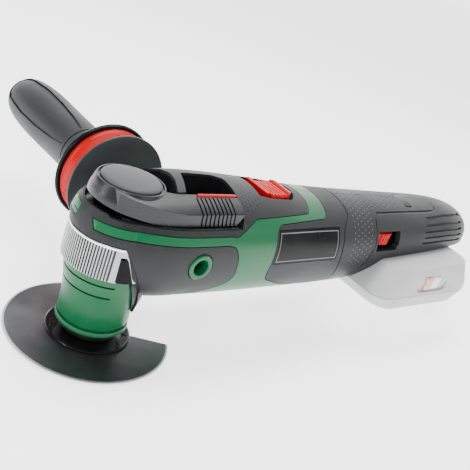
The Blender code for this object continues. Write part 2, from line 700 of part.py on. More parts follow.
def pack_form(name, inset, finish=None):
    """The closed outer form of the battery, lofted from the bottom up, drawn in by inset."""
    levels = [(24.4, 173.0, 246.0, -45.0), (27.0, 168.0, 252.0, -48.6), (34.0, 164.5, 264.5, -48.0),
              (38.5, 168.5, 266.0, -46.8), (49.0, 183.0, 261.0, -43.2)]
    shape = bmesh.new()
    rings = []
    for index, (z, left, right, near) in enumerate(levels):
        if index == 0:
            z += inset
        if index == len(levels) - 1:
            z -= inset
        corner = 12.0 - inset
        low = (left + inset, near + inset)
        high = (right - inset, PACK_FAR - inset - 0.1 * abs(z - 34))
        ring_points = []
        corners = [(high[0], high[1], 0), (low[0], high[1], 90),
                   (low[0], low[1], 180), (high[0], low[1], 270)]
        for x, y, start in corners:
            centre = (x - corner * (1 if x == high[0] else -1), y - corner * (1 if y == high[1] else -1))
            ring_points += arc(centre, corner, start, start + 90, 5)
        lift = 3.4 if index == len(levels) - 1 else 0.0
        rings.append([shape.verts.new((x * MM, y * MM, (z + lift * (x - 183.0) / 78.0) * MM))
                      for x, y in ring_points])
    for first, second in zip(rings, rings[1:]):
        count = len(first)
        for step in range(count):
            after = (step + 1) % count
            shape.faces.new((first[step], first[after], second[after], second[step]))
    shape.faces.new(rings[0])
    shape.faces.new(rings[-1])
    bmesh.ops.recalc_face_normals(shape, faces=shape.faces)
    return add_object(name, mesh_from(shape, name), finish)


def battery():
    hollow = pack_form("pack_hollow", 2.0)
    cut(hollow, box("slot_walls", (204.6, -24, 45.2), (245.4, 70, 70)))
    finished(hollow)
    top = pack_form("battery_top", 0.0, "pale")
    keep(top, box("pack_upper", (150, -70, PACK_SEAM + 0.15), (280, 70, 70)))
    cut(top, hollow)
    cut(top, box("foot_slot", (207.6, -19, 46.4), (242.4, 70, 49.8)))
    cut(top, box("neck_slot", (213.0, -19, 49.0), (237.0, 70, 60)))
    cut(top, box("button_space", (209.0, -60, 36.3), (226.0, -42.0, 45.4)))
    base = pack_form("battery_base", 0.0, "pale")
    keep(base, box("pack_lower", (150, -70, 0), (280, 70, PACK_SEAM - 0.15)))
    cut(base, hollow)
    for index in range(5):
        y = FIRST_CELL_Y + CELL_PITCH * index
        rod(f"battery_cell_{index + 1}", CELL_RADIUS, CELL_X[0], CELL_X[1], "cell_wrap", "X",
            (0, y, CELL_Z), SMALL)
    box("battery_button", (209.4, -46.9, 36.7), (217.0, -43.6, 45.0), "red")
    box("battery_gauge", (217.4, -46.4, 36.7), (225.6, -43.6, 45.0), "pale")
    box("battery_terminals", (213.4, -18.6, 46.7), (236.6, -12.4, 49.4), "black")


def battery_dock():
    """T-shaped foot of the tool that the battery slides onto, with the contacts at its near end."""
    foot = box("dock_foot", (214.0, -11.0, 48.0), (236.0, 24.0, 59.6), "black")
    join(foot, box("foot_flange", (208.2, -10.4, 46.8), (241.8, 23.6, 49.4)))


# ---- assembly --------------------------------------------------------------------------------

def build():
    body_shells()
    gear_head()
    band_window("band_window_near", -1)
    band_window("band_window_far", 1)
    spindle_group()
    rocker_fork()
    clamp_group()
    rotor()
    motor()
    lever()
    controls()
    blade()
    side_handle()
    battery()
    battery_dock()


build()
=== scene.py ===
import json
import math

import bpy
from mathutils import Matrix, Vector

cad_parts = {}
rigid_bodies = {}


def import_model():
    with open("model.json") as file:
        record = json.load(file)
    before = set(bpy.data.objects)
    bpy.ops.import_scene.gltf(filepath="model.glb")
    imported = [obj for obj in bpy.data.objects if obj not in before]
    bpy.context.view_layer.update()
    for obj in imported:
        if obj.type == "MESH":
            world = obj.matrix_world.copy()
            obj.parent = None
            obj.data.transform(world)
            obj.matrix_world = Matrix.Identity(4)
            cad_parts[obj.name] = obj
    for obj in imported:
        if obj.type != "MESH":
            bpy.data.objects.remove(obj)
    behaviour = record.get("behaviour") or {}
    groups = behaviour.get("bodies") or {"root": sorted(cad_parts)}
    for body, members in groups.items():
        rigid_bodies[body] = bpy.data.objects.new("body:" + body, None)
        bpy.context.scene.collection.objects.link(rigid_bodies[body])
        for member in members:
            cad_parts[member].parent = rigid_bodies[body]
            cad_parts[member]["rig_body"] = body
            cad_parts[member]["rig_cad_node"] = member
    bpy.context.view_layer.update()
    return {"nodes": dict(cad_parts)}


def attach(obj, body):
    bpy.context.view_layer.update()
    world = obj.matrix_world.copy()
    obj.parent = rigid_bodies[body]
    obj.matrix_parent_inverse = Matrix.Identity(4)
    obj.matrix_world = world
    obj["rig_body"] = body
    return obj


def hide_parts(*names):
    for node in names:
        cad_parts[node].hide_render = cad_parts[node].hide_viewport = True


# Looks of a cordless oscillating multi tool.  Lengths in the tables are millimetres.
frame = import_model()

MM = 0.001
GAP = 0.45              # parting gap between an overmould and its housing
SKIN = 1.6              # thickness of the soft overmoulds
WALL = 1.9              # thickness of the hard shells
GROOVE = 0.9            # depth of the lines and of the fold in the skin
SIDE = 45               # half the width that a cutter needs to pass the body
ROUND = 72              # segments round the barrel
FINE = 96               # segments of a large turned piece
SQUARING = 0.93         # under 1, the barrel's section is a little squarer than an ellipse
LEVER_FLOOR = 73.6      # underside of the lever
BAND_LOW, BAND_HIGH = 43.5, 61.5
HANDLE = (30.3, 0.0, 56.0)      # a point on the side handle's axis
DIAL = (178.3, -14.3, 0.0)      # a point on the dial's axis
REAR_AXIS, REAR_RADIUS = 0.0535, 0.027      # height and radius that the dot rows wrap round, in metres

# Barrel sections: x, half width, half height, centre height
BARREL = [
    (-18.0, 13.0, 16.0, 56.5), (-8.0, 23.0, 25.0, 56.8), (4.0, 28.0, 29.0, 57.2),
    (18.0, 31.0, 30.8, 57.4), (34.0, 31.5, 31.3, 57.4), (58.0, 31.5, 31.0, 56.6),
    (84.0, 30.6, 30.2, 55.4), (112.0, 29.4, 29.0, 54.0), (140.0, 28.4, 28.2, 53.2),
    (168.0, 27.4, 27.4, 53.2), (200.0, 26.2, 25.8, 53.8), (232.0, 25.0, 24.4, 54.4),
    (258.0, 23.2, 22.4, 54.8), (276.0, 19.6, 19.0, 55.0), (288.0, 13.6, 13.2, 55.0),
    (295.0, 6.0, 5.8, 55.0),
]
HEAD_PROFILE = [(20.4, 74.6), (22.4, 71.6), (24.0, 66.0), (24.4, 58.0), (24.4, 42.4)]
SHROUD_PROFILE = [(24.0, 47.0), (23.4, 40.0), (21.4, 30.0), (19.7, 21.0)]

# Side outlines of the overmoulds, as (x, z)
HEAD_GRIP = [(-40, 95), (107.6, 95), (109.4, 81.4), (106.6, 78), (64.5, 77.9), (62.0, 77.0), (50.5, 70.7),
             (46.0, 71.2), (-21.0, 71.2), (-21.0, 66.4), (45.0, 66.4), (49.0, 65.6), (51.2, 63.4),
             (53.2, 59.0), (54.8, 50.0), (54.2, 46.6), (52.0, 43.2), (41.0, 36.6), (31.0, 31.5),
             (26.0, 20.0), (-40, 20)]
SEAM = [(140.4, 95), (140.6, 85), (142.6, 79.6), (142.2, 76.0), (138.4, 72.6), (136.6, 69.4),
        (136.6, 60.0), (138.0, 50.0), (140.6, 40.0), (141.4, 34.0), (141.6, 20)]
MID_FRONT = [(128.0, 20), (116.0, 31.0), (98.0, 36.8), (83.0, 42.8), (80.2, 45.2), (79.0, 48.6),
             (79.4, 70.6), (80.4, 73.2), (83.0, 74.4), (119.4, 75.0), (122.0, 76.4), (123.0, 79.0),
             (124.8, 95)]
PATCH = [(-24.5, 72.6), (-24.5, 67.4), (-18.6, 67.4), (-18.6, 72.6)]
PLATE = [(80.5, 72.2), (131.8, 71.2), (132.6, 53.4), (80.5, 54.2)]

MID_GRIP = MID_FRONT + [(x - 0.35, z) for x, z in SEAM]


# ---- modelling helpers -------------------------------------------

def only(item):
    """Select one object and make it active."""
    bpy.ops.object.select_all(action="DESELECT")
    item.select_set(True)
    bpy.context.view_layer.objects.active = item
    return item


def fresh(name):
    item = bpy.context.object
    item.name = item.data.name = name
    return item


def settle(item):
    """Put an object's place, turn and size into its mesh."""
    only(item)
    bpy.ops.object.transform_apply(location=True, rotation=True, scale=True)
    return item


def metres(point):
    return Vector(point) * MM


def box(low, high, name="block"):
    centre = [(a + b) / 2 for a, b in zip(low, high)]
    bpy.ops.mesh.primitive_cube_add(size=1, location=metres(centre))
    item = fresh(name)
    item.scale = metres([b - a for a, b in zip(low, high)])
    return settle(item)


def set_points(item, points):
    for vertex, point in zip(item.data.vertices, points):
        vertex.co = metres(point)


TURNS = {"Z": (0, 0, 0), "X": (0, math.radians(90), 0), "Y": (math.radians(-90), 0, 0)}


def turned(profile, axis="Z", at=(0, 0, 0), steps=FINE, name="turned"):
    """Spin a (radius, height) outline round an axis."""
    bpy.ops.mesh.primitive_circle_add(vertices=len(profile), radius=MM)
    item = fresh(name)
    set_points(item, [(r, 0, h) for r, h in profile])
    bpy.ops.object.mode_set(mode="EDIT")
    bpy.ops.mesh.select_all(action="SELECT")
    bpy.ops.mesh.spin(steps=steps, angle=2 * math.pi, center=(0, 0, 0), axis=(0, 0, 1))
    bpy.ops.mesh.select_all(action="SELECT")
    bpy.ops.mesh.remove_doubles(threshold=0.000002)
    bpy.ops.mesh.dissolve_degenerate(threshold=0.000001)
    bpy.ops.mesh.select_all(action="SELECT")
    bpy.ops.mesh.delete_loose()
    bpy.ops.mesh.select_all(action="SELECT")
    bpy.ops.mesh.normals_make_consistent(inside=False)
    bpy.ops.object.mode_set(mode="OBJECT")
    item.rotation_euler = TURNS[axis]
    item.location = metres(at)
    return settle(item)


def rod(radius, low, high, axis="Z", at=(0, 0, 0), steps=48, name="rod"):
    return turned([(0, high), (radius, high), (radius, low), (0, low)], axis, at, steps, name)


def ring(inner, outer, low, high, axis="Z", at=(0, 0, 0), steps=FINE, name="ring"):
    return turned([(inner, high), (outer, high), (outer, low), (inner, low)], axis, at, steps, name)


def prism(outline, low, high, axis="Y", name="prism"):
    """Fill an outline, (x, z) for axis Y, (x, y) for Z or (y, z) for X, and extrude it."""
    bpy.ops.mesh.primitive_circle_add(vertices=len(outline), radius=MM, fill_type="NGON")
    item = fresh(name)
    if axis == "Y":
        set_points(item, [(u, low, v) for u, v in outline])
        travel = (0, (high - low) * MM, 0)
    elif axis == "X":
        set_points(item, [(low, u, v) for u, v in outline])
        travel = ((high - low) * MM, 0, 0)
    else:
        set_points(item, [(u, v, low) for u, v in outline])
        travel = (0, 0, (high - low) * MM)
    bpy.ops.object.mode_set(mode="EDIT")
    bpy.ops.mesh.select_all(action="SELECT")
    bpy.ops.mesh.extrude_region_move(TRANSFORM_OT_translate={"value": travel})
    bpy.ops.mesh.select_all(action="SELECT")
    bpy.ops.mesh.normals_make_consistent(inside=False)
    bpy.ops.object.mode_set(mode="OBJECT")
    return item


def copy_of(source, name="copy"):
    item = source.copy()
    item.data = source.data.copy()
    item.name = item.data.name = name
    bpy.context.scene.collection.objects.link(item)
    item.hide_render = item.hide_viewport = False
    return item


def combine(item, other, operation, spare=False):
    only(item)
    step = item.modifiers.new("boolean", "BOOLEAN")
    step.operation = operation
    step.solver = "EXACT"
    step.object = other
    bpy.ops.object.modifier_apply(modifier=step.name)
    if not spare:
        bpy.data.objects.remove(other)
    return item


def cut(item, *others, spare=False):
    for other in others:
        combine(item, other, "DIFFERENCE", spare)
    return item


def keep(item, other, spare=False):
    return combine(item, other, "INTERSECT", spare)


def join(item, *others):
    for other in others:
        combine(item, other, "UNION")
    return item


def merged(*items, name="group"):
    """Put several objects in one mesh without a boolean."""
    bpy.ops.object.select_all(action="DESELECT")
    for item in items:
        item.select_set(True)
    bpy.context.view_layer.objects.active = items[0]
    bpy.ops.object.join()
    return fresh(name)


def soften(item, width, segments=2, angle=35):
    """Round the edges that are sharper than an angle."""
    only(item)
    step = item.modifiers.new("rounding", "BEVEL")
    step.width = width * MM
    step.segments = segments
    step.limit_method = "ANGLE"
    step.angle_limit = math.radians(angle)
    step.harden_normals = False
    bpy.ops.object.modifier_apply(modifier=step.name)
    return item


def halves(item, name, middle=0.15):
    """Split a closed piece into a near and a far half at the middle plane."""
    result = []
    for suffix, side in (("_near", -1), ("_far", 1)):
        half = copy_of(item, name + suffix)
        only(half)
        bpy.ops.object.mode_set(mode="EDIT")
        bpy.ops.mesh.select_all(action="SELECT")
        bpy.ops.mesh.bisect(plane_co=(0, side * middle * MM, 0), plane_no=(0, side, 0), use_fill=True,
                            clear_inner=True, clear_outer=False)
        bpy.ops.object.mode_set(mode="OBJECT")
        result.append(half)
    bpy.data.objects.remove(item)
    return result


def arc(centre, radius, start, end, count):
    steps = [math.radians(start + (end - start) * i / (count - 1)) for i in range(count)]
    return [(centre[0] + radius * math.cos(t), centre[1] + radius * math.sin(t)) for t in steps]


def polar(radius, degrees):
    return radius * math.cos(math.radians(degrees)), radius * math.sin(math.radians(degrees))


def grown(outline, amount):
    """Push an outline outwards, point by point."""
    count = len(outline)
    area = sum(outline[i][0] * outline[(i + 1) % count][1] - outline[(i + 1) % count][0] * outline[i][1]
               for i in range(count))
    side = 1.0 if area > 0 else -1.0
    result = []
    for i, point in enumerate(outline):
        before, here, after = Vector(outline[i - 1]), Vector(point), Vector(outline[(i + 1) % count])
        one, two = (here - before).normalized(), (after - here).normalized()
        normal = Vector((one.y + two.y, -one.x - two.x)).normalized() * side
        reach = amount / max(0.5, normal.dot(Vector((one.y, -one.x)) * side))
        result.append((here.x + normal.x * reach, here.y + normal.y * reach))
    return result


def ribbon(points, width):
    """Outline of a line of constant width through (u, v) points."""
    left, right = [], []
    for i, point in enumerate(points):
        before = Vector(points[max(i - 1, 0)])
        after = Vector(points[min(i + 1, len(points) - 1)])
        along = (after - before).normalized() * width / 2
        left.append((point[0] - along.y, point[1] + along.x))
        right.append((point[0] + along.y, point[1] - along.x))
    return left + right[::-1]


# ---- the outer form ----------------------------------------------

def between(a, b, c, d, t):
    """Catmull-Rom curve from b to c."""
    return 0.5 * (2 * b + (c - a) * t + (2 * a - 5 * b + 4 * c - d) * t * t
                  + (3 * b - a - 3 * c + d) * t ** 3)


def smooth(rows, parts):
    """Rows of numbers along a smooth curve through the given ones."""
    result = []
    last = len(rows) - 1
    for i in range(last):
        four = [rows[max(i - 1, 0)], rows[i], rows[i + 1], rows[min(i + 2, last)]]
        result += [tuple(between(*column, step / parts) for column in zip(*four)) for step in range(parts)]
    return result + [rows[-1]]


def barrel_core():
    """The barrel, extruded section by section from a rounded outline."""
    sections = smooth(BARREL, 3)
    x, width, height, centre = sections[0]
    bpy.ops.mesh.primitive_circle_add(vertices=ROUND, radius=MM, fill_type="NGON")
    item = fresh("barrel_core")
    points = []
    for step in range(ROUND):
        t = 2 * math.pi * step / ROUND
        y = math.copysign(abs(math.cos(t)) ** SQUARING, math.cos(t)) * width
        z = math.copysign(abs(math.sin(t)) ** SQUARING, math.sin(t)) * height
        points.append((x, y, centre + z))
    set_points(item, points)
    bpy.ops.object.mode_set(mode="EDIT")
    bpy.ops.mesh.select_all(action="SELECT")
    for before, after in zip(sections, sections[1:]):
        move = metres((after[0] - before[0], 0, after[3] - before[3]))
        bpy.ops.mesh.extrude_region_move(TRANSFORM_OT_translate={"value": move})
        bpy.ops.transform.resize(value=(1, after[1] / before[1], after[2] / before[2]),
                                 center_override=metres((after[0], 0, after[3])))
    bpy.ops.mesh.select_all(action="SELECT")
    bpy.ops.mesh.normals_make_consistent(inside=False)
    bpy.ops.object.mode_set(mode="OBJECT")
    return item


def body_form(core, inset):
    """Barrel, head and neck shroud as one solid, drawn in by inset."""
    form = copy_of(core, "form")
    if inset:
        only(form)
        bpy.ops.object.mode_set(mode="EDIT")
        bpy.ops.mesh.select_all(action="SELECT")
        bpy.ops.transform.shrink_fatten(value=-inset * MM, use_even_offset=False)
        bpy.ops.object.mode_set(mode="OBJECT")
    drops = (inset, inset, inset / 2, 0, 0)
    head = [(r - inset, z - drop) for (r, z), drop in zip(HEAD_PROFILE, drops)]
    head[-1] = (head[-1][0], head[-1][1] + inset / 4)
    head = [(0, head[0][1])] + head + [(0, head[-1][1])]
    join(form, turned(head, steps=84))
    shroud = [(0, 47.0)] + [(r - inset, z) for r, z in SHROUD_PROFILE] + [(0, 21.0)]
    tongue = turned(shroud, steps=84)
    wedge = [(-1.5 + inset, 48), (-0.5 + inset, 42), (10.5 + inset, 20), (40, 20), (40, 48)]
    keep(tongue, prism(wedge, -40, 40))
    return join(form, tongue)


CORE = barrel_core()
OUTER = body_form(CORE, 0.0)
UNDER = body_form(CORE, SKIN)
SEAT = body_form(CORE, SKIN + 0.3)
INNER = body_form(CORE, SKIN + 0.3 + WALL)
GROOVED = body_form(CORE, GROOVE)


def skin_from(outline, low=-SIDE, high=SIDE, name="skin"):
    """The outer skin of the body inside an outline."""
    return cut(keep(copy_of(OUTER, name), prism(outline, low, high)), UNDER, spare=True)


def groove_cut(outline, low=-SIDE, high=SIDE):
    """A cutter that sinks the surface inside an outline by the depth of a groove."""
    return cut(prism(outline, low, high), GROOVED, spare=True)


def neck_bore():
    return turned([(0, 43.3), (21.6, 43.3), (20.95, 37.0), (19.35, 29.0), (18.35, 21.0), (18.35, 5.0),
                   (0, 5.0)])


def band_space():
    front = [(-40, 38.0), (0.9, 38.0), (0.5, BAND_LOW), (-5.5, 57.0), (-9.0, BAND_HIGH + 0.4),
             (-40, BAND_HIGH + 0.4)]
    return join(rod(23.7, BAND_LOW - 0.3, BAND_HIGH + 0.3, steps=FINE), prism(front, -40, 40))


POCKET = [(22.9, -12.6), (29.2, 3.0), (30.6, 4.6), (48.6, 4.6), (50.4, 4.0), (54.6, 1.2), (55.2, -0.6),
          (54.6, -12.6)]


def lever_space():
    """Room over the head for the lever and for the fingers behind it."""
    space = rod(19.3, LEVER_FLOOR, 110, steps=FINE)
    arm = [(-16, -8), (-16, -40), (47.5, -40), (55.4, -22.0), (54.6, -12.2), (20, -12.2)]
    groove = [(0, -12), (18.4, -12.3), polar(22.0, -10), polar(23.6, 8), polar(24.6, 24), polar(24.4, 44),
              polar(22.6, 60), polar(20, 72), (0, 12)]
    join(space, prism(arm, LEVER_FLOOR + 0.1, 109, "Z"))
    join(space, prism(POCKET, LEVER_FLOOR + 1.5, 108, "Z"))
    join(space, prism(groove, LEVER_FLOOR + 4.0, 107, "Z"))
    join(space, prism(arc((0, 0), 19.1, 118, 242, 24), 71.9, 91, "Z"))
    return join(space, rod(3.4, 60.0, 90))


SWITCH_WELL = [(72.5, -11.5), (80, -12.4)] + arc((91, 0), 13.2, -62, 62, 15) + [(80, 12.4), (72.5, 11.5)]


def battery_bay(grow=0.0):
    outline = [(151.4 - grow, 20.0), (156.9 - grow, 31.0), (182.4 - grow, 50.0 + grow),
               (262.0, 53.6 + grow), (310.0, 53.6 + grow), (310.0, 20.0)]
    return prism(outline, -60, 60)


def shared_cuts(piece):
    """The openings that the front housing and the head grip share."""
    cut(piece, neck_bore(), band_space(), lever_space(), prism(SWITCH_WELL, 81.0, 110, "Z"))
    return cut(piece, rod(7.2, -40, 40, "Y", HANDLE))


# ---- finishes ----------------------------------------------------

def new_group(name, inputs, outputs):
    group = bpy.data.node_groups.new(name, "ShaderNodeTree")
    for label, kind, value in inputs:
        socket = group.interface.new_socket(name=label, in_out="INPUT", socket_type=kind)
        socket.default_value = value
    for label, kind in outputs:
        group.interface.new_socket(name=label, in_out="OUTPUT", socket_type=kind)
    return group, group.nodes.new("NodeGroupInput"), group.nodes.new("NodeGroupOutput")


def feed(tree, socket, value):
    """Set a socket to a number or a colour, or link another socket to it."""
    if isinstance(value, (int, float)):
        socket.default_value = value
    elif isinstance(value, tuple):
        socket.default_value = (*value, 1.0)
    else:
        tree.links.new(value, socket)


def noise(tree, vector, scale, detail):
    node = tree.nodes.new("ShaderNodeTexNoise")
    node.inputs["Detail"].default_value = detail
    node.inputs["Roughness"].default_value = 0.55
    tree.links.new(scale, node.inputs["Scale"])
    tree.links.new(vector, node.inputs["Vector"])
    return node.outputs["Fac"]


def maths(tree, operation, *values, clamp=False):
    node = tree.nodes.new("ShaderNodeMath")
    node.operation = operation
    node.use_clamp = clamp
    for socket, value in zip(node.inputs, values):
        feed(tree, socket, value)
    return node.outputs[0]


def fade(tree, value, low, high, out_low=0.0, out_high=1.0):
    """Smoothly map a value from one range to another."""
    node = tree.nodes.new("ShaderNodeMapRange")
    node.interpolation_type = "SMOOTHSTEP"
    for socket, number in zip(list(node.inputs)[:5], (value, low, high, out_low, out_high)):
        feed(tree, socket, number)
    return node.outputs[0]


def blend_colours(tree, mask, one, two):
    node = tree.nodes.new("ShaderNodeMix")
    node.data_type = "RGBA"
    for socket, value in ((node.inputs[0], mask), (node.inputs[6], one), (node.inputs[7], two)):
        feed(tree, socket, value)
    return node.outputs[2]


def make_moulded():
    """Moulded surface: broad tone shift and fine grain."""
    group, entry, leave = new_group("moulded_surface", [
        ("Colour", "NodeSocketColor", (0.1, 0.1, 0.1, 1)), ("Light", "NodeSocketColor", (0.2, 0.2, 0.2, 1)),
        ("Grain", "NodeSocketFloat", 2500.0), ("Patch", "NodeSocketFloat", 30.0),
        ("Tone", "NodeSocketFloat", 0.3), ("Rough low", "NodeSocketFloat", 0.3),
        ("Rough high", "NodeSocketFloat", 0.5)],
        [("Colour", "NodeSocketColor"), ("Roughness", "NodeSocketFloat"), ("Height", "NodeSocketFloat")])
    place = group.nodes.new("ShaderNodeTexCoord").outputs["Object"]
    fine = noise(group, place, entry.outputs["Grain"], 2.0)
    broad = noise(group, place, entry.outputs["Patch"], 4.0)
    tone = maths(group, "MULTIPLY", fade(group, broad, 0.35, 0.75), entry.outputs["Tone"])
    speck = maths(group, "MULTIPLY", fade(group, fine, 0.55, 0.75), entry.outputs["Tone"])
    mask = maths(group, "ADD", tone, maths(group, "MULTIPLY", speck, 0.6), clamp=True)
    colour = blend_colours(group, mask, entry.outputs["Colour"], entry.outputs["Light"])
    group.links.new(colour, leave.inputs["Colour"])
    group.links.new(fade(group, broad, 0.3, 0.7, entry.outputs["Rough low"], entry.outputs["Rough high"]),
                    leave.inputs["Roughness"])
    group.links.new(fine, leave.inputs["Height"])
    return group


def make_slab():
    """Mask that is 1 between two values of a coordinate."""
    group, entry, leave = new_group("slab_mask", [
        ("Value", "NodeSocketFloat", 0.0), ("Low", "NodeSocketFloat", 0.0), ("High", "NodeSocketFloat", 1.0),
        ("Soft", "NodeSocketFloat", 0.0002)], [("Mask", "NodeSocketFloat")])
    value, low, high, soft = (entry.outputs[k] for k in ("Value", "Low", "High", "Soft"))
    rise = fade(group, value, low, maths(group, "ADD", low, soft))
    fall = fade(group, value, maths(group, "SUBTRACT", high, soft), high, 1.0, 0.0)
    group.links.new(maths(group, "MULTIPLY", rise, fall), leave.inputs["Mask"])
    return group


def make_dots():
    """Rows of round dots on a slanted grid."""
    group, entry, leave = new_group("dot_rows", [
        ("U", "NodeSocketFloat", 0.0), ("V", "NodeSocketFloat", 0.0), ("Pitch", "NodeSocketFloat", 0.003),
        ("Radius", "NodeSocketFloat", 0.22)], [("Mask", "NodeSocketFloat")])
    u = maths(group, "DIVIDE", entry.outputs["U"], entry.outputs["Pitch"])
    v = maths(group, "DIVIDE", entry.outputs["V"], entry.outputs["Pitch"])
    slant = maths(group, "ADD", v, maths(group, "MULTIPLY", maths(group, "FLOOR", u), 0.5))
    du = maths(group, "SUBTRACT", maths(group, "FRACT", u), 0.5)
    dv = maths(group, "SUBTRACT", maths(group, "FRACT", slant), 0.5)
    square = maths(group, "ADD", maths(group, "MULTIPLY", du, du), maths(group, "MULTIPLY", dv, dv))
    far = maths(group, "SQRT", square)
    inner = maths(group, "MULTIPLY", entry.outputs["Radius"], 0.6)
    group.links.new(fade(group, far, inner, entry.outputs["Radius"], 1.0, 0.0), leave.inputs["Mask"])
    return group


MOULDED = make_moulded()
SLAB = make_slab()
DOTS = make_dots()


def use(tree, group, **values):
    node = tree.nodes.new("ShaderNodeGroup")
    node.node_tree = group
    for label, value in values.items():
        feed(tree, node.inputs[label.replace("_", " ")], value)
    return node


class Finish:
    """A material with a moulded base that extra masks can be painted on."""

    def __init__(self, name, colour, light, rough=(0.35, 0.5), grain=2500, patch=30, tone=0.3, bump=0.15,
                 metallic=0.0, coat=0.0, specular=0.22):
        self.material = bpy.data.materials.new(name)
        self.material.use_nodes = True
        self.tree = self.material.node_tree
        self.shader = self.tree.nodes["Principled BSDF"]
        self.shader.inputs["Metallic"].default_value = metallic
        self.shader.inputs["Coat Weight"].default_value = coat
        self.shader.inputs["Coat Roughness"].default_value = 0.12
        self.shader.inputs["Specular IOR Level"].default_value = specular
        base = use(self.tree, MOULDED, Colour=colour, Light=light, Grain=float(grain), Patch=float(patch),
                   Tone=tone, Rough_low=rough[0], Rough_high=rough[1])
        self.colour = base.outputs["Colour"]
        self.rough = base.outputs["Roughness"]
        self.height = base.outputs["Height"]
        self.bump = bump
        self.relief = []
        self.place = self.tree.nodes.new("ShaderNodeTexCoord").outputs["Object"]
        apart = self.tree.nodes.new("ShaderNodeSeparateXYZ")
        self.tree.links.new(self.place, apart.inputs[0])
        self.x, self.y, self.z = apart.outputs

    def slab(self, value, low, high, soft=0.3):
        return use(self.tree, SLAB, Value=value, Low=low * MM, High=high * MM, Soft=soft * MM).outputs[0]

    def zone(self, *slabs):
        mask = slabs[0]
        for other in slabs[1:]:
            mask = maths(self.tree, "MULTIPLY", mask, other)
        return mask

    def paint(self, mask, colour, rough=None):
        self.colour = blend_colours(self.tree, mask, self.colour, colour)
        if rough is not None:
            self.rough = fade(self.tree, mask, 0.0, 1.0, self.rough, rough)
        return self

    def sink(self, mask, depth):
        """Lower the surface where the mask is 1, by a depth in millimetres."""
        self.relief.append(maths(self.tree, "MULTIPLY", mask, -depth))
        return self

    def done(self):
        tree = self.tree
        tree.links.new(self.colour, self.shader.inputs["Base Color"])
        tree.links.new(self.rough, self.shader.inputs["Roughness"])
        height = maths(tree, "MULTIPLY", self.height, self.bump)
        for layer in self.relief:
            height = maths(tree, "ADD", height, layer)
        node = tree.nodes.new("ShaderNodeBump")
        node.inputs["Distance"].default_value = MM
        node.inputs["Strength"].default_value = 1.0
        tree.links.new(height, node.inputs["Height"])
        tree.links.new(node.outputs["Normal"], self.shader.inputs["Normal"])
        return self.material


GREEN = (0.003, 0.100, 0.034)
GREEN_LIGHT = (0.006, 0.135, 0.050)
CHARCOAL = (0.013, 0.0145, 0.016)
CHARCOAL_LIGHT = (0.027, 0.029, 0.031)


def rubber_finish():
    return Finish("soft_grip_rubber", CHARCOAL, CHARCOAL_LIGHT, (0.40, 0.55), 2200, 24, 0.35, 0.10).done()


def head_rubber_finish():
    finish = Finish("head_grip_rubber", CHARCOAL, CHARCOAL_LIGHT, (0.40, 0.55), 2200, 24, 0.4, 0.10)
    dots = use(finish.tree, DOTS, U=finish.x, V=finish.y, Pitch=0.0026, Radius=0.30).outputs[0]
    rows = finish.zone(dots, finish.slab(finish.x, 57.5, 71.0), finish.slab(finish.z, 80.0, 95.0))
    edge = use(finish.tree, DOTS, U=finish.x, V=finish.y, Pitch=0.0017, Radius=0.30).outputs[0]
    far = finish.zone(edge, finish.slab(finish.x, 26.0, 57.0), finish.slab(finish.y, 6.5, 14.0))
    for mask in (rows, far):
        finish.paint(mask, (0.008, 0.008, 0.009)).sink(mask, 0.25)
    return finish.done()


def rear_rubber_finish():
    finish = Finish("rear_shell_rubber", CHARCOAL, CHARCOAL_LIGHT, (0.38, 0.52), 2200, 24, 0.4, 0.10)
    turn = maths(finish.tree, "ARCTAN2", finish.y, maths(finish.tree, "SUBTRACT", finish.z, REAR_AXIS))
    along = maths(finish.tree, "MULTIPLY", turn, REAR_RADIUS)
    dots = use(finish.tree, DOTS, U=finish.x, V=along, Pitch=0.0033, Radius=0.15).outputs[0]
    rows = finish.zone(dots, finish.slab(finish.x, 144.0, 165.5), finish.slab(finish.z, 48.0, 95.0))
    top = finish.zone(dots, finish.slab(finish.x, 165.0, 205.0), finish.slab(finish.z, 77.6, 95.0))
    for mask in (rows, top):
        finish.paint(mask, (0.13, 0.135, 0.14)).sink(mask, -0.1)
    return finish.done()


def green_finish():
    return Finish("green_shell", GREEN, GREEN_LIGHT, (0.30, 0.40), 3200, 18, 0.35, 0.05, coat=0.15).done()


def blade_finish():
    """Blackened steel: a fine ring grain, lighter ground rim and a soft sheen across."""
    finish = Finish("blade_steel", (0.070, 0.073, 0.077), (0.12, 0.124, 0.13), (0.30, 0.42), 900, 40, 0.6,
                    0.03, metallic=0.85)
    tree = finish.tree
    radius = ring_radius(finish)
    lines = tree.nodes.new("ShaderNodeTexNoise")
    lines.noise_dimensions = "1D"
    lines.inputs["Scale"].default_value = 3500.0
    tree.links.new(radius, lines.inputs["W"])
    finish.sink(lines.outputs["Fac"], 0.03)
    rim = finish.slab(radius, 41.2, 42.6, 0.25)
    finish.paint(rim, (0.42, 0.43, 0.44), 0.28)
    return finish.done()


def ring_radius(finish):
    tree = finish.tree
    return maths(tree, "SQRT", maths(tree, "ADD", maths(tree, "MULTIPLY", finish.x, finish.x),
                                     maths(tree, "MULTIPLY", finish.y, finish.y)))


def band_finish():
    """Bright metal, with painted shade between the ribs and a polished lip."""
    finish = Finish("band_aluminium", (0.30, 0.305, 0.31), (0.46, 0.465, 0.47), (0.22, 0.32), 1800, 60, 0.5,
                    0.03, metallic=1.0)
    # painted shade: the grooves between the ribs are coloured near black
    groove = finish.zone(finish.slab(ring_radius(finish), 22.0, 23.2, 0.15),
                         finish.slab(finish.z, 43.0, 60.6, 0.1))
    finish.paint(groove, (0.05, 0.05, 0.052), 0.4)
    lip = finish.slab(finish.z, 60.2, 62.0, 0.1)
    finish.paint(lip, (0.80, 0.80, 0.81), 0.2)
    return finish.done()


def simple(name, colour, light, rough, grain, patch, tone, bump, **more):
    return Finish(name, colour, light, rough, grain, patch, tone, bump, **more).done()


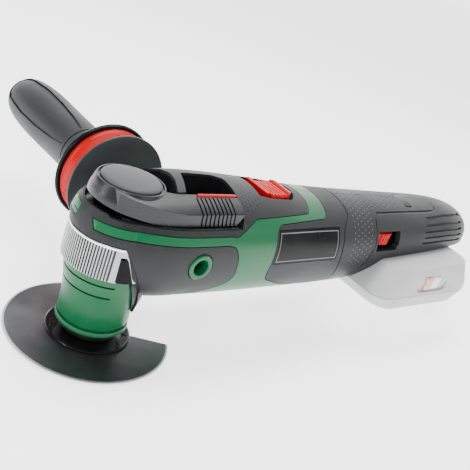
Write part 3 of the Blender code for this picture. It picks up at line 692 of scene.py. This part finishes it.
# Plain finishes: name, base and lighter colour, roughness from and to, grain, patch, tone, bump
FINISHES = {
    "green": green_finish(),
    "rubber": rubber_finish(),
    "head_rubber": head_rubber_finish(),
    "rear_rubber": rear_rubber_finish(),
    "lever": simple("lever_satin", (0.010, 0.011, 0.012), (0.020, 0.021, 0.023),
        (0.26, 0.33), 3000, 20, 0.3, 0.05, specular=0.35),
    "guard": simple("guard_satin", (0.034, 0.038, 0.039), (0.055, 0.060, 0.061),
        (0.3, 0.4), 3000, 25, 0.6, 0.05),
    "disc": simple("disc_satin", (0.036, 0.038, 0.041), (0.052, 0.055, 0.058),
        (0.36, 0.44), 3000, 25, 0.4, 0.05),
    "black": simple("gloss_black", (0.006, 0.006, 0.007), (0.012, 0.012, 0.014),
        (0.10, 0.18), 900, 30, 0.5, 0.01, specular=0.07),
    # pocket_black: the black of the lever pocket's rubber, also used as painted shade behind the seam
    "liner": simple("pocket_black", (0.008, 0.008, 0.009), (0.02, 0.02, 0.022),
        (0.16, 0.28), 900, 60, 0.5, 0.02),
    "plate": simple("plate_black", (0.006, 0.0065, 0.007), (0.013, 0.014, 0.015),
        (0.26, 0.36), 1500, 25, 0.5, 0.02, specular=0.1),
    "trim": simple("plate_line", (0.16, 0.165, 0.17), (0.24, 0.245, 0.25),
        (0.3, 0.4), 2000, 50, 0.4, 0.02),
    "red": simple("red_gloss", (0.42, 0.0008, 0.0014), (0.52, 0.002, 0.003),
        (0.22, 0.32), 2500, 40, 0.25, 0.03, specular=0.14),
    # lighter, pinker copy of the button red: a painted highlight for the glossy ribs
    "rib_red_painted_highlight": simple("red_rib_painted_highlight", (0.62, 0.012, 0.012), (0.72, 0.05, 0.045),
        (0.25, 0.35), 2500, 40, 0.4, 0.03),
    "aluminium": band_finish(),
    "blade": blade_finish(),
    "hub": simple("hub_gloss", (0.012, 0.012, 0.013), (0.03, 0.03, 0.033),
        (0.14, 0.22), 1200, 60, 0.5, 0.02, metallic=0.6, coat=0.4),
    "dark_steel": simple("dark_steel", (0.13, 0.133, 0.138), (0.22, 0.225, 0.23),
        (0.28, 0.40), 1500, 60, 0.5, 0.04, metallic=0.9),
    "steel": simple("ground_steel", (0.42, 0.42, 0.43), (0.58, 0.58, 0.59),
        (0.22, 0.34), 1500, 60, 0.5, 0.04, metallic=1.0),
    "copper": simple("copper_winding", (0.52, 0.20, 0.08), (0.72, 0.34, 0.16),
        (0.28, 0.42), 1500, 90, 0.6, 0.10, metallic=0.9),
    "pale": simple("frosted_pale", (0.50, 0.505, 0.51), (0.62, 0.625, 0.63),
        (0.40, 0.52), 2500, 22, 0.5, 0.05),
    "pale_red": simple("frosted_red", (0.80, 0.42, 0.34), (0.86, 0.56, 0.48),
        (0.40, 0.5), 2500, 60, 0.5, 0.04),
    "pale_white": simple("frosted_white", (0.86, 0.86, 0.86), (0.92, 0.92, 0.92),
        (0.40, 0.5), 2500, 60, 0.5, 0.04),
    "board": simple("circuit_board", (0.012, 0.07, 0.03), (0.04, 0.14, 0.07),
        (0.35, 0.5), 1500, 250, 0.7, 0.08),
    "cell": simple("cell_wrap", (0.05, 0.14, 0.36), (0.10, 0.22, 0.46),
        (0.28, 0.4), 1500, 60, 0.5, 0.04, coat=0.2),
}


def mount(item, name, body, finish, replaced=(), angle=32):
    """Name, shade and finish a piece, and let it ride on its body."""
    item.name = item.data.name = name
    item.data.materials.clear()
    item.data.materials.append(FINISHES[finish])
    only(item)
    bpy.ops.object.shade_smooth_by_angle(angle=math.radians(angle))
    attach(item, body)
    if replaced:
        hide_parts(*replaced)
    return item


def paint_faces(item, finish, chosen):
    """Give the faces that a test chooses a second finish."""
    item.data.materials.append(FINISHES[finish])
    index = len(item.data.materials) - 1
    for face in item.data.polygons:
        if chosen(face.center / MM, face.normal):
            face.material_index = index


# ---- body shells -------------------------------------------------

def make_housing():
    area = [(x - 0.5, z) for x, z in SEAM] + [(-60, 20), (-60, 95)]
    whole = keep(copy_of(OUTER, "housing"), prism(area, -SIDE, SIDE))
    for outline in (HEAD_GRIP, MID_GRIP):
        cut(whole, cut(prism(grown(outline, GAP), -SIDE, SIDE), SEAT, spare=True))
    cavity = copy_of(INNER, "cavity")
    cut(cavity, box((-30, -40, 70.0), (60, 40, 100)), box((70, -20, 77.6), (122, 20, 100)))
    cut(whole, cavity)
    shared_cuts(whole)
    for half, side in zip(halves(whole, "housing"), ("near", "far")):
        mount(half, "front_housing_" + side, "tool", "green", ["housing_" + side])
        # Faces in the lever pocket and the switch well take the pocket's black; faces past x 134, behind the
        # seam, are painted black as painted shade for the seam gap.
        paint_faces(half, "liner", lambda c, n: (c.z > 71.3 and c.x < 64 and abs(c.y) < 22.5) or c.x > 134
                    or (70 < c.x < 105 and c.z > 76.5 and abs(c.y) < 14))


def make_head_grip():
    grip = skin_from(HEAD_GRIP, name="head_grip_skin")
    shared_cuts(grip)
    fold = [(-40, 65.8), (-11.8, 65.8), (-6.9, 59.5), (5.7, 39.0), (11.0, 27.0), (11.0, 15), (-40, 15)]
    cut(grip, groove_cut(fold), prism(grown(PATCH, 0.25), 1.0, 20.0))
    inlay = skin_from(PATCH, 1.3, 14.0, "inlay")
    cut(inlay, prism([(-25, 69.6), (-25, 69.1), (-10, 69.1), (-10, 69.6)], -3, 7))
    mount(inlay, "front_inlay", "tool", "green")
    mount(grip, "head_overmould", "tool", "head_rubber", ["head_grip"])


def make_mid_grip():
    grip = skin_from(MID_GRIP, name="mid_grip_skin")
    cut(grip, prism(grown(PLATE, 0.3), -SIDE, -10))
    mount(grip, "middle_overmould", "tool", "rubber", ["mid_grip"])
    plate = skin_from(PLATE, -SIDE, -10, "plate_skin")
    mount(plate, "side_plate", "tool", "plate", ["name_plate"])
    line = cut(prism(grown(PLATE, -1.1), -SIDE, -10), prism(grown(PLATE, -1.55), -50, -5))
    keep(line, body_form(CORE, -0.08))
    mount(cut(line, UNDER, spare=True), "plate_border", "tool", "trim")


def make_rear_shells():
    area = [(x + 0.35, z) for x, z in SEAM] + [(310, 20), (310, 95)]
    shell = keep(copy_of(OUTER, "rear"), prism(area, -SIDE, SIDE))
    hollow = cut(copy_of(INNER, "hollow"), battery_bay(2.4))
    cut(shell, hollow, battery_bay())
    cut(shell, box((213.7, -11.3, 40), (236.3, 24.3, 60)))
    cut(shell, box((170.3, -40, 58.6), (193.0, -14.0, 67.4)))
    ledge = prism([(170.3, -34), (193.0, -34), (191.4, -21.5), (171.2, -21.5)], 55.6, 60.0, "Z")
    cut(shell, ledge)
    cut(shell, rod(11.6, 58.5, 66.8, at=DIAL, steps=48))
    cut(shell, box((207.4, -10.4, 70), (213.6, 4.4, 100)))
    panel_edge = [(243.5, 84), (243.2, 80.5), (240.6, 76.6), (237.0, 75.8), (171.5, 76.2), (168.8, 74.6),
                  (168.0, 71.5), (168.6, 60.0), (166.0, 50.0), (160.0, 40.0), (154.0, 33.0)]
    lines = [(panel_edge, 0.7)]
    lines += [([(224.0 - 0.8 * i, z), (250.0, z + 0.4), (272.0, z - 0.6)], 1.3)
              for i, z in enumerate((72.9, 69.3, 65.7, 62.1, 58.5))]
    for points, width in lines:
        cut(shell, groove_cut(ribbon(points, width), -SIDE, -4))
    for half, side in zip(halves(shell, "rear"), ("near", "far")):
        mount(half, "rear_housing_" + side, "tool", "rear_rubber", ["rear_shell_" + side])


def make_seam_shade_sleeve():
    """Black sleeve behind the seam between the middle and the rear housing: painted shade that keeps the
    seam gap dark.
    """
    sleeve = keep(body_form(CORE, SKIN + 0.4 + WALL), box((133.0, -60, 22), (147.5, 60, 120)))
    cut(sleeve, body_form(CORE, SKIN + 1.0 + WALL))
    mount(sleeve, "seam_shade_sleeve", "tool", "liner")


def make_neck():
    profile = [(21.3, 42.7), (20.6, 37.0), (19.0, 29.0), (18.05, 21.0), (18.2, 13.0), (18.1, 12.7),
               (16.9, 12.5), (16.9, 11.3), (18.3, 11.1), (18.6, 10.2), (18.6, 9.0), (18.2, 8.4),
               (17.4, 8.0), (16.4, 8.0), (16.4, 42.7)]
    neck = turned(profile)
    for height, radius in ((38.2, 20.75), (31.6, 19.45)):
        groove = turned([(radius + 1.5, height + 1.0), (radius + 1.5, height), (radius - 1.3, height),
                         (radius - 1.3, height + 1.0)])
        keep(groove, prism([(-40, -40), (-6.0, -40), (-6.0, 40), (-40, 40)], 20, 50, "Z"))
        cut(neck, groove)
    mount(neck, "neck", "tool", "green", ["neck_sleeve"])


def make_inserts():
    for side, name in ((-1, "near"), (1, "far")):
        profile = [(4.2, 31.8), (4.6, 32.2), (6.2, 32.2), (6.7, 31.7), (6.7, 19.0), (4.2, 19.0)]
        insert = turned([(r, side * y) for r, y in profile], "Y", HANDLE, 64)
        mount(insert, "handle_socket_" + name, "tool", "green", ["handle_insert_" + name])


def make_band():
    """Ribbed metal band: upright ribs round the front, plain ends and a bright upper lip."""
    ribs, pitch, crest, valley = 34, 3.6, 23.5, 22.85
    rim = []
    for step in range(ribs):
        middle = 118.0 + pitch * step
        rim += [polar(crest, middle - 0.75), polar(crest, middle + 0.75), polar(valley, middle + 1.15),
                polar(valley, middle + 2.45)]
    rim += [polar(23.4, 240.5 + 3.75 * step) for step in range(64)]
    band = prism(rim, BAND_LOW, BAND_HIGH - 0.6, "Z")
    join(band, turned([(0, BAND_HIGH), (23.3, BAND_HIGH), (23.6, BAND_HIGH - 0.3), (23.6, BAND_HIGH - 1.2),
                       (0, BAND_HIGH - 1.2)]), rod(15.8, 26.0, BAND_LOW + 1, steps=FINE))
    cut(band, rod(20.0, 45.5, 70, steps=FINE), rod(13.4, 20, 50, steps=FINE))
    cut(band, box((6, -12, 47.0), (40, 12, 80)))
    mount(band, "ribbed_band", "tool", "aluminium", ["gear_head"], angle=25)
    outline = [(-9.2, 56.6), (-6.2, 56.6), (-0.7, 44.2), (-8.8, 44.2)]
    for side, name in ((-1, "near"), (1, "far")):
        window = ring(23.7, 24.5, 40, 62)
        low, high = sorted((side * 18.0, side * 26.0))
        keep(window, prism(outline, low, high))
        mount(window, "band_end_" + name, "tool", "black", ["band_window_" + name])


# ---- lever -------------------------------------------------------

ARM = [(-14.5, -6.0), (-13.4, -13.2), (-9.0, -16.6), (-4.2, -18.9), (3.0, -21.3), (10.0, -23.1),
       (18.0, -24.2), (28.0, -24.6), (55.0, -24.6), (55.0, -12.8), (20.3, -12.8), (17.0, -12.6), (0, -8)]


def arm_section(inset=0.0):
    """Section of the arm: an upright lower face, a crease, and a rounded upper face."""
    points = [(-24.7, 70.0), (-24.3, 80.5), (-23.9, 80.9), (-22.0, 82.1), (-19.5, 83.4), (-17.0, 84.4),
              (-14.5, 85.2), (-12.0, 85.7), (0.0, 86.2)]
    return [(y + inset, z - inset) for y, z in points] + [(0.0, 70.0 - inset)]


def make_lever():
    cap = turned([(0, 84.8), (15.6, 85.0), (15.9, 86.0), (16.5, 86.0), (17.1, 85.2), (17.7, 83.0),
                  (18.05, 81.9), (18.5, 80.8), (18.85, 78.6), (18.95, 74.4), (16.6, 74.4), (16.6, 82.4),
                  (0, 82.4)])
    arm = keep(prism(arm_section(), -20, 60, "X"), prism(ARM, LEVER_FLOOR + 0.7, 90, "Z"))
    keep(arm, prism([(-30, 70), (48.2, 70), (54.4, 80.8), (53.8, 90), (-30, 90)], -40, 0))
    cut(arm, rod(17.2, 60, 82.9, steps=FINE), box((28.9, -14.9, 84.0), (54.4, -12.0, 95)))
    first, pitch, bow = 27.4, 2.55, 19.0
    for step in range(9):
        curve = arc((first + pitch * step + bow, 80.9), bow, 158, 202, 14)
        cut(arm, cut(prism(ribbon(curve, 0.95), -SIDE, -15.2), prism(arm_section(0.75), -30, 70, "X")))
    join(cap, arm)
    chin = prism([(-30, 60), (-30, 78.0), (-19.0, 77.8), (2.0, 74.5), (8.0, 60)], -40, 40)
    cut(cap, rod(15.5, 85.0, 100, steps=FINE), chin)
    mount(cap, "clamp_lever", "lever", "lever", ["lever_body"], angle=30)
    disc = turned([(0, 87.3), (12.4, 87.2), (14.0, 86.9), (14.7, 86.4), (14.9, 85.9), (14.9, 85.2),
                   (0, 85.2)])
    mount(disc, "lever_cap_disc", "lever", "disc", ["lever_disc"])
    strip = soften(box((29.2, -14.6, 84.3), (53.6, -12.8, 86.1)), 0.35)
    mount(strip, "lever_red_strip", "lever", "red", ["lever_strip"])


# ---- controls ----------------------------------------------------

def make_switch():
    outline = [(79.2, 9.3), (79.2, -9.3)] + arc((91.5, 0), 10.8, -60, 60, 21)
    side = [(79.2, 81.4), (79.2, 85.0), (79.7, 85.4), (81.6, 85.4), (84.2, 82.9), (96.2, 82.7), (97.4, 84.3),
            (98.6, 84.8), (100.4, 84.6), (102.0, 83.4), (103, 81.4)]
    button = keep(prism(outline, 81.4, 86, "Z"), prism(side, -20, 20))
    mount(button, "slide_button", "switch", "red", ["switch_button"])
    ribs = [box((85.6 + 2.3 * i, -8.6, 82.4), (86.8 + 2.3 * i, 8.6, 83.9)) for i in range(5)]
    pack = soften(merged(*ribs), 0.3)
    # the ribs take the lighter red, a painted highlight
    mount(pack, "slide_button_ribs", "switch", "rib_red_painted_highlight")


def make_dial():
    teeth = 30
    rim = []
    for step in range(teeth):
        middle = 360.0 * step / teeth
        rim += arc(DIAL[:2], 11.0, middle - 3.6, middle + 3.6, 3)
        rim += arc(DIAL[:2], 10.3, middle + 5.2, middle + 6.8, 2)
    wheel = prism(rim, 59.0, 66.2, "Z")
    cut(wheel, rod(2.0, 50, 80, at=DIAL, steps=24))
    mount(wheel, "dial_wheel", "dial", "red", ["speed_dial"])


def make_status_window():
    capsule = arc((210.5, 1.0), 3.0, 0, 180, 13) + arc((210.5, -7.0), 3.0, 180, 360, 13)
    window = keep(copy_of(OUTER, "window"), prism(capsule, 72, 95, "Z"))
    cut(window, UNDER, spare=True)
    mount(window, "status_lens", "tool", "black", ["status_window"])


# ---- blade -------------------------------------------------------

def make_blade():
    teeth, tip, root = 190, 42.5, 41.5
    start, end = -30.0, -304.0
    outline = []
    for step in range(teeth):
        angle = start + (end - start) * step / teeth
        outline += [polar(tip, angle), polar(root, angle + 0.35 * (end - start) / teeth)]
    outline += [polar(20.0, end - 4), polar(17.4, end - 10)]
    outline += arc((0, 0), 17.4, end - 20, end - 76, 18) + [polar(20.0, start + 4)]
    body = prism(outline, 0.0, 1.0, "Z")
    cut(body, rod(16.6, -5, 5, steps=FINE))
    mount(body, "segment_blade", "blade", "blade", ["blade"], angle=20)
    hub = turned([(6.4, 1.8), (12.2, 1.8), (15.0, 1.6), (17.5, 1.6), (20.6, 2.05), (21.4, 2.1), (21.9, 1.8),
                  (21.9, 1.4), (16.3, 1.3), (16.3, 0.0), (6.4, 0.0)])
    for middle in (200, 232, 264, 296, 328, 160, 20, 60, 100, 130):
        x, y = polar(18.3, middle)
        mark = box((-0.7, -0.35, 1.2), (0.7, 0.35, 3))
        mark.rotation_euler = (0, 0, math.radians(middle + 90))
        mark.location = metres((x, y, 0))
        cut(hub, settle(mark))
    mount(hub, "blade_dish", "blade", "hub", ["blade_hub"])


# ---- side handle -------------------------------------------------

GRIP_RADII = [(17.4, 72.5), (17.0, 77.0), (16.0, 84.0), (15.6, 95.0), (15.8, 112.0), (16.2, 132.0),
              (16.4, 150.0), (16.0, 160.0), (15.2, 168.6), (13.6, 175.6), (10.6, 181.4), (6.4, 185.0),
              (2.6, 186.2)]
PANEL_TURN = -46        # the side of the grip that the sunk panel faces


def make_side_handle():
    radii = smooth(GRIP_RADII, 4)
    grip = turned([(0, 186.4)] + radii[::-1] + [(5.4, 72.5), (5.4, 110.0), (0, 110.0)], "Y", HANDLE)
    right = [(9.6, 172.0), (11.6, 150.0), (11.0, 128.0), (9.4, 108.0), (7.4, 95.0)]
    shield = [(-9.6, 172.0), (-5.0, 181.0), (5.0, 181.0)] + right + [(-x, y) for x, y in right[:0:-1]]
    deep = turned([(0, 186)] + [(r - 0.9, y) for r, y in radii[::-1][5:]] + [(0, 72.5)], "Y", (0, 0, 0))
    panel = cut(prism(shield, 5, 24, "Z"), deep)
    panel.rotation_euler = (0, math.radians(PANEL_TURN), 0)
    panel.location = metres((HANDLE[0], 0, HANDLE[2]))
    cut(grip, settle(panel))
    collar = turned([(18.4, 92.4), (18.4, 91.4), (15.0, 91.4), (15.0, 92.4)], "Y", HANDLE)
    cut(grip, collar)
    mount(grip, "side_grip", "side_handle", "rubber", ["handle_grip"])
    outer_disc = turned([(5.4, 72.2), (16.0, 72.2), (20.0, 71.8), (28.0, 69.9), (29.2, 69.2), (29.6, 68.4),
                         (29.5, 67.4), (29.0, 66.6), (5.4, 66.6)], "Y", HANDLE)
    mount(outer_disc, "outer_guard_disc", "side_handle", "black", ["handle_outer_flange"])
    red = turned([(5.4, 66.3), (27.4, 66.3), (26.6, 65.2), (26.2, 63.0), (26.3, 60.0), (27.0, 57.4),
                  (28.0, 54.9), (5.4, 54.9)], "Y", HANDLE)
    mount(red, "red_ring", "side_handle", "red", ["handle_red_ring"])
    inner_disc = turned([(5.4, 54.6), (28.8, 54.6), (29.3, 54.2), (29.4, 53.6), (29.2, 53.1), (28.7, 52.8),
                         (20.0, 52.6), (13.4, 52.4), (12.8, 51.6), (10.4, 34.0), (9.8, 33.0), (5.4, 33.0)],
                        "Y", HANDLE)
    mount(inner_disc, "inner_guard_disc", "side_handle", "guard", ["handle_inner_disc"])


# ---- battery -----------------------------------------------------

def solid_copy(node):
    """A merged copy of a CAD piece, as the base for a finer one."""
    item = copy_of(frame["nodes"][node], node + "_fine")
    item.parent = None
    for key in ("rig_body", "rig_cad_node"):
        if key in item:
            del item[key]
    only(item)
    bpy.ops.object.mode_set(mode="EDIT")
    bpy.ops.mesh.select_all(action="SELECT")
    bpy.ops.mesh.remove_doubles(threshold=0.00002)
    bpy.ops.mesh.dissolve_limited(angle_limit=math.radians(1.5))
    bpy.ops.object.mode_set(mode="OBJECT")
    return item


def make_battery():
    top = solid_copy("battery_top")
    capsule = arc((229.0, 40.9), 5.2, -90, 90, 15) + arc((206.0, 40.9), 5.2, 90, 270, 15)
    cut(top, prism(capsule, -60, -45.6))
    soften(top, 0.8, 3, 30)
    mount(top, "pack_upper_shell", "battery", "pale", ["battery_top"])
    base = soften(solid_copy("battery_base"), 0.8, 3, 30)
    mount(base, "pack_lower_shell", "battery", "pale", ["battery_base"])
    button = soften(solid_copy("battery_button"), 0.6, 2)
    mount(button, "pack_button", "battery_latch", "pale_red", ["battery_button"])
    gauge = soften(solid_copy("battery_gauge"), 0.6, 2)
    mount(gauge, "pack_gauge", "battery", "pale_white", ["battery_gauge"])


# ---- the remaining pieces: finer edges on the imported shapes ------

OTHERS = {
    "spindle": ("steel", 0.3), "tool_holder": ("dark_steel", 0.4), "lower_bearing": ("steel", 0.4),
    "upper_bearing": ("steel", 0.4), "bearing_plate": ("aluminium", 0.3), "rocker_fork": ("steel", 0.5),
    "eccentric_bearing": ("steel", 0.4), "clamp_rod": ("steel", 0.3), "clamp_spring": ("steel", 0.0),
    "lever_pin": ("steel", 0.15), "lever_cam": ("steel", 0.3), "lever_bracket": ("steel", 0.2),
    "rotor_shaft": ("steel", 0.2), "rotor_core": ("copper", 0.0), "cooling_fan": ("pale", 0.0),
    "motor_can": ("steel", 0.3), "motor_magnet": ("dark_steel", 0.3), "motor_mount": ("aluminium", 0.4),
    "front_bearing": ("steel", 0.4), "rear_bearing": ("steel", 0.4), "rear_bracket": ("rubber", 0.4),
    "dial_post": ("board", 0.2), "control_board": ("board", 0.15), "dock_foot": ("black", 0.3),
    "handle_stud": ("steel", 0.4), "battery_terminals": ("black", 0.3),
    **{f"battery_cell_{i}": ("cell", 0.5) for i in range(1, 6)},
}


def make_others():
    for node, (finish, rounding) in OTHERS.items():
        item = solid_copy(node)
        if rounding:
            soften(item, rounding)
        body = frame["nodes"][node]["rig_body"]
        mount(item, node + "_detailed", body, finish, [node])


# ---- room, light and camera --------------------------------------

def make_room():
    bpy.ops.mesh.primitive_plane_add(size=60.0, location=(0.1, 0.1, -0.0012))
    floor = fresh("studio_floor")
    bpy.ops.mesh.primitive_plane_add(size=80.0, location=(14.0, 14.0, 0.0),
                                     rotation=(math.radians(90), 0, math.radians(-45)))
    wall = fresh("studio_wall")
    paper = bpy.data.materials.new("studio_paper")
    paper.use_nodes = True
    shader = paper.node_tree.nodes["Principled BSDF"]
    shader.inputs["Base Color"].default_value = (0.92, 0.92, 0.92, 1)
    shader.inputs["Roughness"].default_value = 0.9
    shader.inputs["Emission Color"].default_value = (1, 1, 1, 1)
    shader.inputs["Emission Strength"].default_value = 1.9
    floor.data.materials.append(paper)
    wall.data.materials.append(paper)
    world = bpy.data.worlds.new("studio_world")
    world.use_nodes = True
    back = world.node_tree.nodes["Background"]
    back.inputs["Color"].default_value = (1, 1, 1, 1)
    back.inputs["Strength"].default_value = 0.34
    bpy.context.scene.world = world


def lamp(name, at, towards, size, power):
    bpy.ops.object.light_add(type="AREA", location=at)
    item = fresh(name)
    item.data.shape = "RECTANGLE"
    item.data.size, item.data.size_y = size
    item.data.energy = power
    aim = Vector(towards) - Vector(at)
    item.rotation_euler = aim.to_track_quat("-Z", "Y").to_euler()


def make_lights():
    lamp("top_softbox", (0.15, 0.30, 1.0), (0.12, 0.0, 0.06), (1.0, 0.30), 13)
    lamp("key_softbox", (-0.55, -0.45, 0.75), (0.05, 0.0, 0.05), (0.18, 0.45), 5)
    lamp("left_strip", (-0.8, 0.25, 0.35), (0.0, 0.0, 0.05), (0.08, 0.6), 3.5)
    lamp("near_strip", (0.45, -0.8, 0.45), (0.1, 0.0, 0.05), (0.8, 0.06), 2.5)


VIEW_ANGLES = (-46.25, 23.36, 20.64)        # round, up and roll, in degrees
VIEW_PLACE = (-187.594, -253.759, 212.538)
LENS = 55.605


def make_camera():
    turn, rise, roll = (math.radians(angle) for angle in VIEW_ANGLES)
    back = Vector((math.sin(turn) * math.cos(rise), -math.cos(turn) * math.cos(rise), math.sin(rise)))
    right = Vector((math.cos(turn), math.sin(turn), 0.0))
    up = back.cross(right)
    across = right * math.cos(roll) + up * math.sin(roll)
    upward = up * math.cos(roll) - right * math.sin(roll)
    data = bpy.data.cameras.new("view_camera")
    data.lens, data.sensor_width = LENS, 36.0
    data.clip_start, data.clip_end = 0.01, 20.0
    camera = bpy.data.objects.new("view_camera", data)
    bpy.context.scene.collection.objects.link(camera)
    axes = Matrix((across, upward, back)).transposed().to_4x4()
    camera.matrix_world = Matrix.Translation(metres(VIEW_PLACE)) @ axes
    bpy.context.scene.camera = camera


def clear_forms():
    for item in (CORE, OUTER, UNDER, SEAT, INNER, GROOVED):
        bpy.data.objects.remove(item)


make_room()
make_lights()
make_camera()
make_housing()
make_head_grip()
make_mid_grip()
make_rear_shells()
make_seam_shade_sleeve()
make_neck()
make_inserts()
make_band()
make_lever()
make_switch()
make_dial()
make_status_window()
make_blade()
make_side_handle()
make_battery()
make_others()
clear_forms()
